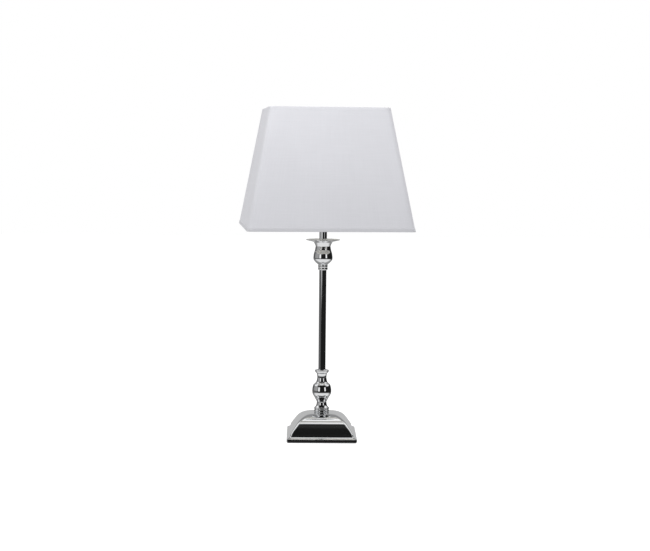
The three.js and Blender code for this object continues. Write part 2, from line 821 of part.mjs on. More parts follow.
function shadeFrame() {
  const inset = fabricThickness + linerThickness + 2 * seatGap + wireRadius + seatGap;
  const corner = shadeCorner - inset;
  const low = wireRadius + wireInset;
  const high = shadeHeight - low;
  const lowHalf = shadeHalf(low + wireRadius) - inset;
  const parts = [
    piece('shade_frame_bottom', squareWire(lowHalf, corner, low), 'wire'),
    piece('shade_frame_top', squareWire(shadeHalf(high + wireRadius) - inset, corner, high), 'wire'),
  ];
  const ringZ = fitterRise;
  parts.push(piece('fitter_ring', tube(fitterRadius, fitterBore, ringZ, ringZ + fitterThickness), 'wire'));
  const wireZ = ringZ + fitterThickness / 2;
  const cornerReach = (lowHalf - corner) * Math.SQRT2 + corner;
  const start = fitterRadius + seatGap;
  const end = cornerReach - wireRadius - 2 * seatGap;
  for (let arm = 0; arm < 4; arm += 1) {
    const strut = piece(`fitter_arm_${arm + 1}`, fitterArm(start, end, wireZ, low), 'wire');
    strut.rotation.z = Math.PI / 4 + arm * Math.PI / 2;
    parts.push(strut);
  }
  return parts;
}

// A wire that leaves the fitter flat, then runs straight down to a corner of the bottom frame
function fitterArm(start, end, top, bottom) {
  const path = new THREE.CatmullRomCurve3([
    new THREE.Vector3(start, 0, top),
    new THREE.Vector3(start + armLead, 0, top),
    new THREE.Vector3(mix(start + armLead, end, 0.1), 0, mix(top, bottom, 0.07)),
    new THREE.Vector3(mix(start + armLead, end, 0.5), 0, mix(top, bottom, 0.5)),
    new THREE.Vector3(end, 0, bottom),
  ], false, 'centripetal');
  const section = new THREE.Shape();
  for (let i = 0; i < wireSides; i += 1) {
    const angle = i / wireSides * 2 * Math.PI;
    const place = [wireRadius * Math.cos(angle), wireRadius * Math.sin(angle)];
    if (i === 0) {
      section.moveTo(...place);
    } else {
      section.lineTo(...place);
    }
  }
  section.closePath();
  return new THREE.ExtrudeGeometry(section, { extrudePath: path, steps: 12, bevelEnabled: false });
}

const lamp = new THREE.Group();
lamp.add(feltPad(), bottomPlate(), baseShell(), baseWeight(), cordGrommet(), ...clampParts());
lamp.add(beadRing(), waistCollar(), lowerVase(), tulipCollar(), columnTube());
lamp.add(upperCollar(), urn(), dripPan(), upperTube());
lamp.add(piece('seat_washer', tube(seatWasherRadius, rodHole, upperTubeTop, holderCapBottom), 'steel'));
lamp.add(holderCap(), piece('holder_grub_screw', grub(grubRadius, grubLength), 'steel'));
lamp.add(...holderInside(), holderSleeve());
lamp.add(shadeRing('shade_ring_lower', lowerRingBottom, lowerRingHeight, true));
lamp.add(shadeRing('shade_ring_upper', upperRingBottom, upperRingHeight, false));
lamp.add(...bulb());

const shade = new THREE.Group();
shade.position.z = shadeBottom;
shade.rotation.z = THREE.MathUtils.degToRad(shadeTurn);
shade.add(...shadeSkins(), shadeSeam(), ...shadeFrame());
lamp.add(shade);

export default lamp;
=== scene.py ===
"""Looks of a chrome table lamp with a square fabric shade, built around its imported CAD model."""

import math

import bmesh
import bpy
from mathutils import Matrix, Vector, noise


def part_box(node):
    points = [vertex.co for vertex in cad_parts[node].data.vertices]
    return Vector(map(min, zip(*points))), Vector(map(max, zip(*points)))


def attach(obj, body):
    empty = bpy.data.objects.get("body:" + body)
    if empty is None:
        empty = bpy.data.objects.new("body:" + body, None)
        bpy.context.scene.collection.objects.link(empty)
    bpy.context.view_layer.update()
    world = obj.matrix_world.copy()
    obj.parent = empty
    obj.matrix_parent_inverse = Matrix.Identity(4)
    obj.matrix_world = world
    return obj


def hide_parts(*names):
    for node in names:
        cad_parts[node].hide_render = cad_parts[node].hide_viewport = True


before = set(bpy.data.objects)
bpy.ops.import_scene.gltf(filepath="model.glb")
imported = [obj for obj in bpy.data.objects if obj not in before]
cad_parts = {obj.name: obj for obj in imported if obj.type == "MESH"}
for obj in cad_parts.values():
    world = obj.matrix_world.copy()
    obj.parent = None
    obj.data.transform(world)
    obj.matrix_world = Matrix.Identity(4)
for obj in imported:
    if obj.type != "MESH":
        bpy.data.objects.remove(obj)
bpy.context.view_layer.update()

MM = 0.001

# Camera, fitted to the corners of the base and the shade
IMAGE_WIDTH = 650
FOCAL_LENGTH_PX = 1402
SENSOR_WIDTH = 36
CAMERA_DISTANCE = 2.548
CAMERA_HEIGHT = 0.5239
CAMERA_SIDE = 0.004
CAMERA_AZIMUTH = math.radians(-1.08)
CAMERA_PITCH = math.radians(5.08)
CAMERA_ROLL = math.radians(0.55)
FAR_CLIP = 100

# Edges that turn more than these angles stay sharp
SHARP = math.radians(40)
BASE_SHARP = math.radians(32)
CLOTH_SHARP = math.radians(50)
ROUND_SHARP = math.radians(60)

# Turned pieces
TURNS = 144
DRILL_TURNS = 48
EDGE_RADIUS = 0.2 * MM
WELD = 0.002 * MM
LATHE_WELD = 0.001 * MM
SHORT_SPAN = 0.3 * MM
SPAN_PARTS = 4

# Threads, with the least radius that they are cut at
SLEEVE_THREAD = {"pitch": 2.5 * MM, "depth": 0.5 * MM, "core": 18 * MM}
SLEEVE_PLAIN_FOOT = 6 * MM
SLEEVE_PLAIN_TOP = 2 * MM
CAP_THREAD = {"pitch": 3.629 * MM, "depth": 0.9 * MM, "core": 12 * MM}
CAP_PLAIN_END = 3 * MM
THREAD_STEP = 0.4 * MM
WALL_SLACK = 0.05 * MM

# Shade
SHADE_TURN = math.radians(5.2)
SHADE_CORNER = 10 * MM
CORNER_STEPS = 6
HALF_SIDES = 8
END_BAND = 0.5 * MM

# Cloth of the shade
FABRIC_THICKNESS = 0.8 * MM
FABRIC_BOW = 0.7 * MM
FABRIC_ROWS = 48
FABRIC_SIDE = 40
WAVES_ACROSS = 9
WAVES_UP = 7

# Film behind the cloth
FILM_THICKNESS = 0.8 * MM
FILM_SETBACK = 1.1 * MM
FILM_ROWS = 12

# Hems: how thick, how far they sink in, and how square their section is
HEM_THICKNESS = 1 * MM
BOTTOM_HEM_SINK = 0.3 * MM
TOP_HEM_SINK = 0.65 * MM
HEM_STEPS = 16
HEM_SIDE = 60
HEM_FACE_POWER = 0.35
HEM_EDGE_POWER = 0.6
HEM_RIPPLE = 0.25 * MM
HEM_RIPPLES = 30
BOTTOM_RIPPLE_SEED = 7
TOP_RIPPLE_SEED = 3

# Lapped seam of the cloth
LAP_WELD = 0.01 * MM
LAP_FLAT = math.radians(2)
LAP_LONG_EDGE = 100 * MM
LAP_CUTS = 60
LAP_RIPPLE = 0.3 * MM
LAP_RIPPLES = 60
LAP_RIPPLE_SEED = 5
LAP_EDGE = 0.18 * MM

# Wires of the shade
WIRE_SETBACK = 4 * MM
WIRE_STEPS = 16
WIRE_CORNER_STEPS = 8
WIRE_SIDE = 4
ARM_RADIUS = 1.5 * MM
ARM_ROUNDNESS = 4
ARM_RING_POINTS = 8

# Base
PLINTH_HALF = 63.3 * MM
PLINTH_CORNER = 3 * MM
PLINTH_TOP = 6.4 * MM
PLINTH_EDGE = 0.3 * MM
PLINTH_EDGE_STEPS = 5
LEDGE_WIDTH = 6.66 * MM
LEDGE_TOP = 8 * MM
LEDGE_LIP = 0.3 * MM
LEDGE_FALL = 0.2 * MM
COVE_WIDTH = 3.66 * MM
COVE_STEPS = 9
DOME_FOOT = 13.6 * MM
DOME_CORNER = 3.5 * MM
FLANK = math.radians(56.5)
FLANK_BOW = 0.25 * MM
FLANK_PARTS = 12
SHOULDER_RADIUS = 36 * MM
SHOULDER_STEPS = 26
INNER_SHOULDER_STEPS = 8
CROWN_TILT = math.radians(8)
CROWN_HALF = 15 * MM
CROWN_PARTS = 6
CROWN_HOLE = 5.4 * MM
NEARLY_ROUND = 0.98
SHELL_WALL = 2.2 * MM
INNER_CORNER = 2 * MM
INNER_RISE = 1 * MM
INLET_HEIGHT = 19 * MM
INLET_RADIUS = 5.2 * MM
INLET_DRILL = 12 * MM
INLET_SEAT = PLINTH_HALF - LEDGE_WIDTH - (INLET_HEIGHT - DOME_FOOT) / math.tan(FLANK)
INLET_AXIS = Matrix.Translation((0, INLET_SEAT, INLET_HEIGHT)) @ Matrix.Rotation(-FLANK, 4, "X")

# Weave of the cloth, with scales for a map in metres
THREAD_SCALE = 320
SLUB_SCALE = 14
SLUB_STRETCH = 26
CLOUD_SCALE = 6
CLOTH_DARKEST = 0.955
CLOTH_LIGHTEST = 1.03

# Light and floor
WHITE = (1, 1, 1, 1)
FILL_LEVEL = 0.625
CEILING = (0.97, 0.97, 0.97, 1)
LIT_POINT = (0, 0, 0.45)
KEY_POWER = 2.95
KEY_PLACE = (-0.08, -0.48, 1.06)
KEY_SIZE = (0.5, 0.4)
SIDE_POWER = 1.3
SIDE_PLACE = (-0.9, 0.15, 0.75)
SIDE_SIZE = (0.5, 0.5)
BACK_POWER = 4.2
BACK_PLACE = (0.55, 0.55, 1.1)
BACK_SIZE = (0.6, 0.5)
FLOOR_HALF = 6
FLOOR_DROP = 0.2 * MM
FLOOR_WHITE = 0.6
FLOOR_GLOW = 1.42


def add_object(name, data):
    piece = bpy.data.objects.new(name, data)
    bpy.context.scene.collection.objects.link(piece)
    return piece


def mesh_from(name, points, faces):
    mesh = bpy.data.meshes.new(name)
    mesh.from_pydata(points, [], faces)
    mesh.validate()
    return mesh


def smooth_by_angle(mesh, limit=SHARP):
    """Smooth shading, with the edges that turn more than the limit kept sharp."""
    work = bmesh.new()
    work.from_mesh(mesh)
    bmesh.ops.recalc_face_normals(work, faces=work.faces)
    for face in work.faces:
        face.smooth = True
    for edge in work.edges:
        edge.smooth = edge.calc_face_angle(0) < limit
    work.to_mesh(mesh)
    work.free()


def add_bevel(piece, width):
    bevel = piece.modifiers.new("edge", "BEVEL")
    bevel.width = width
    bevel.segments = 2
    bevel.limit_method = "ANGLE"
    bevel.angle_limit = SHARP
    bevel.harden_normals = True


def outline_of(node, axis):
    """The outline of a turned CAD node along its front meridian, in order, and whether it is closed."""
    work = bmesh.new()
    work.from_mesh(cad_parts[node].data)
    work.transform(axis.inverted())
    bmesh.ops.remove_doubles(work, verts=work.verts, dist=WELD)
    on_plane = {v for v in work.verts if abs(v.co.x) < WELD and v.co.y < WELD}
    links = {v: [e.other_vert(v) for e in v.link_edges if e.other_vert(v) in on_plane] for v in on_plane}
    ends = [v for v in on_plane if len(links[v]) == 1]
    start = min(ends or on_plane, key=lambda v: (v.co.z, -v.co.y))
    path = [start]
    seen = {start}
    while True:
        ahead = [v for v in links[path[-1]] if v not in seen]
        if not ahead:
            break
        step = max(ahead, key=lambda v: -v.co.y) if len(path) == 1 else ahead[0]
        path.append(step)
        seen.add(step)
    outline = [(max(-v.co.y, 0.0), v.co.z) for v in path]
    closed = not ends
    work.free()
    return outline, closed


def refine(outline, closed):
    """Puts more points on the round stretches of an outline and leaves its corners and flats alone."""
    points = [Vector(p) for p in outline]
    count = len(points)

    def turn(i):
        if not closed and i in (0, count - 1):
            return math.pi
        before = points[i] - points[i - 1]
        after = points[(i + 1) % count] - points[i]
        return before.angle(after, 0.0)

    corner = [turn(i) > SHARP for i in range(count)]
    result = []
    for i in range(count if closed else count - 1):
        j = (i + 1) % count
        a, b = points[i], points[j]
        result.append(a)
        flat = corner[i] and corner[j]
        if flat or (b - a).length < SHORT_SPAN:
            continue
        before = a + (a - b) if corner[i] else points[i - 1]
        after = b + (b - a) if corner[j] else points[(i + 2) % count]
        for step in range(1, SPAN_PARTS):
            result.append(smooth_point(before, a, b, after, step / SPAN_PARTS))
    if not closed:
        result.append(points[-1])
    return [tuple(p) for p in result]


def smooth_point(p0, p1, p2, p3, t):
    """The point at share t of a smooth curve from p1 to p2, with p0 before them and p3 after."""
    straight = 2 * p1 + (p2 - p0) * t
    square = (2 * p0 - 5 * p1 + 4 * p2 - p3) * t ** 2
    cube = (3 * p1 - p0 - 3 * p2 + p3) * t ** 3
    return 0.5 * (straight + square + cube)


def thread_cut(thread, radius, height, share):
    """How deep a thread cuts into a wall, at a height and at a share of the turn."""
    if not thread or radius <= thread["core"] or not thread["lowest"] <= height <= thread["highest"]:
        return 0.0
    pitch = thread["pitch"]
    fade = min(1, (height - thread["lowest"]) / pitch, (thread["highest"] - height) / pitch)
    return thread["depth"] * fade * (0.5 - 0.5 * math.cos(2 * math.pi * (height / pitch - share)))


def lathe(name, outline, closed, turns=TURNS, thread=None):
    """Revolves an outline about the axis, with a thread cut into it where one is given."""
    points = []
    faces = []
    count = len(outline)
    for i in range(turns):
        angle = 2 * math.pi * i / turns
        for radius, height in outline:
            r = radius - thread_cut(thread, radius, height, i / turns)
            points.append((r * math.sin(angle), -r * math.cos(angle), height))
    for i in range(turns):
        j = (i + 1) % turns
        for k in range(count if closed else count - 1):
            m = (k + 1) % count
            faces.append((i * count + k, j * count + k, j * count + m, i * count + m))
    mesh = mesh_from(name, points, faces)
    work = bmesh.new()
    work.from_mesh(mesh)
    bmesh.ops.remove_doubles(work, verts=work.verts, dist=LATHE_WELD)
    bmesh.ops.dissolve_degenerate(work, edges=work.edges, dist=LATHE_WELD)
    work.to_mesh(mesh)
    work.free()
    smooth_by_angle(mesh)
    return add_object(name, mesh)


def place(piece, body, material, node):
    piece.data.materials.clear()
    piece.data.materials.append(material)
    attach(piece, body)
    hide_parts(node)
    return piece


def drilled(piece, radius, length, axis):
    """Drills a round hole through a closed piece, centred where the axis has its origin."""
    outline = [(0, -length / 2), (radius, -length / 2), (radius, length / 2), (0, length / 2)]
    drill = lathe("drill", outline, False, turns=DRILL_TURNS)
    drill.data.transform(axis)
    hole = piece.modifiers.new("hole", "BOOLEAN")
    hole.operation = "DIFFERENCE"
    hole.solver = "EXACT"
    hole.object = drill
    bpy.context.view_layer.update()
    shape = piece.evaluated_get(bpy.context.evaluated_depsgraph_get())
    mesh = bpy.data.meshes.new_from_object(shape)
    mesh.name = piece.name
    piece.modifiers.remove(hole)
    piece.data = mesh
    bpy.data.objects.remove(drill)
    smooth_by_angle(mesh, BASE_SHARP)


def divide_wall(outline):
    """Puts more points on the straight outside wall of an outline, for a thread."""
    result = []
    widest = max(radius for radius, _ in outline)
    for i, (radius, height) in enumerate(outline):
        result.append((radius, height))
        next_radius, next_height = outline[(i + 1) % len(outline)]
        upright = abs(radius - widest) < WALL_SLACK and abs(next_radius - widest) < WALL_SLACK
        if upright and next_height > height:
            rise = next_height - height
            parts = int(rise / THREAD_STEP)
            for k in range(1, parts):
                result.append((widest, height + rise * k / parts))
    return result


def turned(node, body, material, edge=EDGE_RADIUS, thread=None, axis=Matrix()):
    """A fine version of a turned CAD node, about its own axis."""
    outline, closed = outline_of(node, axis)
    outline = refine(outline, closed)
    if thread:
        outline = divide_wall(outline)
    piece = lathe(node + "_fine", outline, closed, thread=thread)
    piece.data.transform(axis)
    if edge:
        add_bevel(piece, edge)
    return place(piece, body, material, node)


# Materials


class Nodes:
    """A short way to write shader nodes into a tree."""

    def __init__(self, tree):
        self.tree = tree

    def node(self, kind, inputs=None, **settings):
        made = self.tree.nodes.new("ShaderNode" + kind)
        for key, value in settings.items():
            setattr(made, key, value)
        for key, value in (inputs or {}).items():
            if isinstance(value, bpy.types.NodeSocket):
                self.tree.links.new(value, made.inputs[key])
            else:
                made.inputs[key].default_value = value
        return made

    def calc(self, operation, a, b=0.0):
        return self.node("Math", {0: a, 1: b}, operation=operation).outputs[0]

    def ramp(self, value, stops):
        made = self.node("ValToRGB", {"Fac": value})
        elements = made.color_ramp.elements
        while len(elements) > 1:
            elements.remove(elements[-1])
        for i, (position, colour) in enumerate(stops):
            element = elements[0] if i == 0 else elements.new(position)
            element.position = position
            element.color = (*colour, 1)
        return made.outputs["Color"]


class Shader(Nodes):
    """A material with the standard surface node."""

    def __init__(self, name, **settings):
        self.material = bpy.data.materials.new(name)
        self.material.use_nodes = True
        super().__init__(self.material.node_tree)
        self.bsdf = self.tree.nodes["Principled BSDF"]
        for key, value in settings.items():
            socket = key.replace("_", " ").title().replace("Ior", "IOR")
            self.bsdf.inputs[socket].default_value = value

    def own_place(self):
        return self.node("TexCoord").outputs["Object"]

    def scaled(self, scale):
        return self.node("Mapping", {"Vector": self.own_place(), "Scale": scale}).outputs["Vector"]

    def noise(self, scale, detail=3, roughness=0.5, stretch=None):
        vector = self.scaled(stretch) if stretch else self.own_place()
        inputs = {"Vector": vector, "Scale": scale, "Detail": detail, "Roughness": roughness}
        return self.node("TexNoise", inputs).outputs["Fac"]

    def spread(self, value, low, high):
        inputs = {"Value": value, "To Min": low, "To Max": high}
        return self.node("MapRange", inputs).outputs["Result"]

    def bump(self, height, strength, distance):
        inputs = {"Height": height, "Strength": strength, "Distance": distance}
        return self.node("Bump", inputs).outputs["Normal"]

    def set(self, socket, value):
        self.tree.links.new(value, self.bsdf.inputs[socket])


def chrome():
    """Bright plate: a faint orange peel, hairlines from polishing, and a trace of dust in the roughness."""
    s = Shader("chrome_plate", metallic=1, roughness=0.05)
    tone = s.ramp(s.noise(14, 4), [(0.3, (0.86, 0.87, 0.885)), (0.7, (0.91, 0.915, 0.925))])
    s.set("Base Color", tone)
    smear = s.noise(45, 5, 0.6)
    hairlines = s.noise(900, 2, stretch=(1, 1, 0.04))
    roughness = s.calc("ADD", s.spread(smear, 0.025, 0.06), s.spread(hairlines, -0.006, 0.01))
    s.set("Roughness", roughness)
    s.set("Normal", s.bump(s.noise(260, 2), 0.05, 0.00003))
    return s.material


def steel(name, colour, roughness):
    """Plain metal: a cloudy tone, an uneven sheen and fine marks along its height."""
    s = Shader(name, metallic=1)
    dark = tuple(0.75 * c for c in colour)
    s.set("Base Color", s.ramp(s.noise(160, 4), [(0.3, dark), (0.7, colour)]))
    s.set("Roughness", s.spread(s.noise(500, 3), roughness - 0.08, roughness + 0.1))
    s.set("Normal", s.bump(s.noise(1400, 2, stretch=(1, 1, 0.1)), 0.2, 0.00004))
    return s.material


def plastic(name, colour, roughness, grain=0.15):
    """Moulded or fired surface with a fine grain."""
    s = Shader(name)
    dark = tuple(0.93 * c for c in colour)
    s.set("Base Color", s.ramp(s.noise(60, 3), [(0.35, dark), (0.65, colour)]))
    s.set("Roughness", s.spread(s.noise(300, 3), roughness - 0.06, roughness + 0.06))
    s.set("Normal", s.bump(s.noise(2600, 2), grain, 0.00003))
    return s.material


def felt():
    s = Shader("felt_cloth", roughness=0.95, sheen_weight=0.3, sheen_roughness=0.6)
    tone = s.ramp(s.noise(900, 4, 0.7), [(0.3, (0.012, 0.012, 0.013)), (0.7, (0.04, 0.04, 0.043))])
    s.set("Base Color", tone)
    s.set("Normal", s.bump(s.noise(2200, 3), 0.8, 0.0003))
    return s.material


def cast_iron():
    s = Shader("rough_casting", metallic=0.4, roughness=0.7)
    s.set("Base Color", s.ramp(s.noise(300, 5), [(0.3, (0.03, 0.03, 0.032)), (0.7, (0.09, 0.088, 0.085))]))
    s.set("Normal", s.bump(s.noise(700, 5), 0.7, 0.0006))
    return s.material


def opal_glass():
    s = Shader("opal_glass", roughness=0.25, ior=1.5, subsurface_weight=0.6, subsurface_scale=0.01)
    s.set("Base Color", s.ramp(s.noise(30, 2), [(0.3, (0.86, 0.855, 0.83)), (0.7, (0.9, 0.895, 0.875))]))
    s.set("Normal", s.bump(s.noise(120, 2), 0.03, 0.0001))
    return s.material


def weave(name, colour):
    """Plain-weave cotton: fine warp and weft, slubs that run along both, and a slight cloudiness."""
    s = Shader(name, roughness=0.9, sheen_weight=0.15, sheen_roughness=0.5, specular_ior_level=0.2)
    uv = s.node("UVMap", uv_map="cloth").outputs["UV"]

    def threads(direction):
        inputs = {"Vector": uv, "Scale": THREAD_SCALE, "Distortion": 0.6, "Detail": 1.5, "Detail Scale": 2.0}
        made = s.node("TexWave", inputs, bands_direction=direction, wave_type="BANDS")
        return made.outputs["Fac"]

    def slubs(stretch, scale):
        vector = s.node("Mapping", {"Vector": uv, "Scale": stretch}).outputs["Vector"]
        inputs = {"Vector": vector, "Scale": scale, "Detail": 3, "Roughness": 0.6}
        return s.node("TexNoise", inputs).outputs["Fac"]

    warp = threads("X")
    weft = threads("Y")
    along = slubs((1, SLUB_STRETCH, 1), SLUB_SCALE)
    across = slubs((SLUB_STRETCH, 1, 1), SLUB_SCALE)
    cloud = slubs((1, 1, 1), CLOUD_SCALE)
    thick = s.calc("ADD", s.calc("MULTIPLY", along, 0.5), s.calc("MULTIPLY", across, 0.5))
    cross = s.calc("MULTIPLY", s.calc("ADD", warp, weft), 0.5)
    tone = s.calc("ADD", s.calc("MULTIPLY", thick, 0.5), s.calc("MULTIPLY", cloud, 0.4))
    tone = s.calc("ADD", tone, s.calc("MULTIPLY", cross, 0.1))
    low = tuple(c * CLOTH_DARKEST for c in colour)
    high = tuple(c * CLOTH_LIGHTEST for c in colour)
    s.set("Base Color", s.ramp(tone, [(0.36, low), (0.66, high)]))
    height = s.calc("ADD", s.calc("MULTIPLY", cross, 0.6), s.calc("MULTIPLY", thick, 0.4))
    s.set("Normal", s.bump(height, 0.3, 0.0003))
    return s.material


# Liner film: its colour is grey and warm instead of white. This is painted shade for the dim inside of the
# lampshade.
def film_painted_shade():
    s = Shader("film_painted_shade", roughness=0.4)
    s.set("Base Color", s.ramp(s.noise(22, 3), [(0.3, (0.61, 0.6, 0.57)), (0.7, (0.65, 0.64, 0.61))]))
    s.set("Roughness", s.spread(s.noise(90, 3), 0.35, 0.5))
    s.set("Normal", s.bump(s.noise(260, 3), 0.08, 0.0002))
    return s.material


MATERIALS = {
    "chrome": chrome(),
    "steel": steel("zinc_plate", (0.62, 0.63, 0.64), 0.32),
    "iron": cast_iron(),
    "felt": felt(),
    "bushing": plastic("black_plastic", (0.03, 0.03, 0.031), 0.5, 0.3),
    "holder": plastic("white_plastic", (0.82, 0.82, 0.8), 0.38),
    "ceramic": plastic("white_ceramic", (0.84, 0.82, 0.76), 0.3, 0.4),
    "brass": steel("dull_brass", (0.72, 0.52, 0.24), 0.3),
    "solder": steel("solder", (0.55, 0.55, 0.55), 0.4),
    "bulb_cap": steel("pressed_aluminium", (0.75, 0.75, 0.76), 0.28),
    "bulb_glass": opal_glass(),
    "shade_fabric": weave("cotton_cloth", (0.675, 0.677, 0.713)),
    # the bottom hem's cloth is a darker copy of the shade's cloth: painted shade along the shade's lower edge
    "hem_fabric_painted_shade": weave("hem_cloth_painted_shade", (0.6, 0.602, 0.632)),
    # the liner's grey colour is painted shade for the inside of the lampshade
    "shade_liner": film_painted_shade(),
    "frame_wire": plastic("white_powder_coat", (0.82, 0.82, 0.81), 0.45, 0.5),
}


# Square lofts


def square_ring(half, corner, height, steps=8, side=6):
    """Points of a rounded square: its corners as arcs, with the flat sides divided between them."""
    points = []
    for quarter in range(4):
        diagonal = math.pi / 4 + quarter * math.pi / 2
        centre = Vector((math.cos(diagonal), math.sin(diagonal))) * (half - corner) * math.sqrt(2)
        arc = []
        for i in range(steps + 1):
            angle = diagonal + (i / steps - 0.5) * math.pi / 2
            arc.append(centre + corner * Vector((math.cos(angle), math.sin(angle))))
        next_start = Matrix.Rotation(math.pi / 2, 2) @ arc[0]
        points.extend(arc)
        for i in range(1, side):
            eased = 0.5 - 0.5 * math.cos(math.pi * i / side)
            points.append(arc[-1].lerp(next_start, eased))
    return [(p.x, p.y, height) for p in points]


def loft(name, rings):
    """Joins rings of equally many points, each to the next and the last to the first."""
    count = len(rings[0])
    points = [p for ring in rings for p in ring]
    faces = []
    for r in range(len(rings)):
        n = (r + 1) % len(rings)
        for i in range(count):
            j = (i + 1) % count
            faces.append((r * count + i, r * count + j, n * count + j, n * count + i))
    return mesh_from(name, points, faces)


def dome_rings(foot_half, crown_top, inset, steps):
    """The dome's side in profile: a straight flank, a round shoulder and a crown that rises to its seat."""
    fall = math.tan(FLANK)
    slope = math.tan(CROWN_TILT)
    meet = (fall * foot_half - slope * CROWN_HALF - (crown_top - DOME_FOOT)) / (fall - slope)
    meet_z = DOME_FOOT + fall * (foot_half - meet)
    middle = (FLANK + CROWN_TILT) / 2
    back = SHOULDER_RADIUS / math.cos((FLANK - CROWN_TILT) / 2)
    reach = SHOULDER_RADIUS - inset
    profile = [(foot_half - inset / math.sin(FLANK), DOME_FOOT)]
    for i in range(steps + 1):
        angle = FLANK + (CROWN_TILT - FLANK) * i / steps
        profile.append((
            meet - back * math.sin(middle) + reach * math.sin(angle),
            meet_z - back * math.cos(middle) + reach * math.cos(angle),
        ))
    profile.append((CROWN_HALF, crown_top - inset))
    rings = []
    for k, (half, z) in enumerate(profile):
        parts = {0: FLANK_PARTS, steps + 1: CROWN_PARTS}.get(k, 1)
        bow = FLANK_BOW if k == 0 and inset == 0 else 0
        next_half, next_z = profile[k + 1] if k + 1 < len(profile) else (half, z)
        for j in range(parts):
            ring_half = half + (next_half - half) * j / parts + bow * math.sin(math.pi * j / parts)
            inward = (foot_half - ring_half) / (foot_half - CROWN_HALF)
            corner = DOME_CORNER + (CROWN_HALF - DOME_CORNER) * inward ** 2
            rings.append((ring_half, corner, z + (next_z - z) * j / parts))
    return rings


def base_shell():
    """The base in fine rings: plinth, ledge, cove and dome, open below, with the inlet's hole in the back."""
    low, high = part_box("base_shell")
    bottom, crown = low[2], high[2]
    dome_half = PLINTH_HALF - LEDGE_WIDTH
    outside = [
        (PLINTH_HALF - PLINTH_EDGE, PLINTH_CORNER, bottom),
        (PLINTH_HALF, PLINTH_CORNER, bottom + PLINTH_EDGE),
    ]
    for i in range(PLINTH_EDGE_STEPS + 1):
        angle = i / PLINTH_EDGE_STEPS * math.pi / 2
        out = PLINTH_HALF - PLINTH_EDGE * (1 - math.cos(angle))
        outside.append((out, PLINTH_CORNER, PLINTH_TOP - PLINTH_EDGE * (1 - math.sin(angle))))
    outside.append((dome_half + COVE_WIDTH + LEDGE_LIP, DOME_CORNER, LEDGE_TOP - LEDGE_FALL))
    for i in range(1, COVE_STEPS):
        angle = i / COVE_STEPS * math.pi / 2
        out = dome_half + COVE_WIDTH * (1 - math.sin(angle))
        outside.append((out, DOME_CORNER, DOME_FOOT - (DOME_FOOT - LEDGE_TOP) * math.cos(angle)))
    outside.extend(dome_rings(dome_half, crown, 0, SHOULDER_STEPS))
    inside = dome_rings(dome_half, crown, SHELL_WALL, INNER_SHOULDER_STEPS)[::-1]
    inside.append((dome_half + COVE_WIDTH - SHELL_WALL, DOME_CORNER, LEDGE_TOP - SHELL_WALL + INNER_RISE))
    inside.append((PLINTH_HALF - SHELL_WALL, INNER_CORNER, PLINTH_TOP - SHELL_WALL))
    inside.append((PLINTH_HALF - SHELL_WALL, INNER_CORNER, bottom))
    rings = [square_ring(*ring) for ring in outside]
    rings.append(square_ring(CROWN_HOLE, CROWN_HOLE * NEARLY_ROUND, crown))
    rings.append(square_ring(CROWN_HOLE, CROWN_HOLE * NEARLY_ROUND, crown - SHELL_WALL))
    rings.extend(square_ring(*ring) for ring in inside)
    mesh = loft("base_shell_fine", rings)
    smooth_by_angle(mesh, BASE_SHARP)
    piece = add_object("base_shell_fine", mesh)
    drilled(piece, INLET_RADIUS, INLET_DRILL, INLET_AXIS)
    weighted = piece.modifiers.new("even", "WEIGHTED_NORMAL")
    weighted.keep_sharp = True
    return place(piece, "lamp", MATERIALS["chrome"], "base_shell")


# Shade


def shade_place(x, y, z):
    """A point of the shade's own frame, turned to where the shade stands."""
    c, s = math.cos(SHADE_TURN), math.sin(SHADE_TURN)
    return (x * c - y * s, x * s + y * c, z)


def shade_sizes(node):
    """Half sides of a shade skin at its foot and top, in the shade's own turned frame, and its heights."""
    low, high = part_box(node)
    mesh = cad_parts[node].data
    back = Matrix.Rotation(-SHADE_TURN, 3, "Z")
    turned_points = [back @ v.co for v in mesh.vertices]
    foot = max(p.x for p in turned_points if p.z < low[2] + END_BAND)
    top = max(p.x for p in turned_points if p.z > high[2] - END_BAND)
    return foot, top, low[2], high[2]


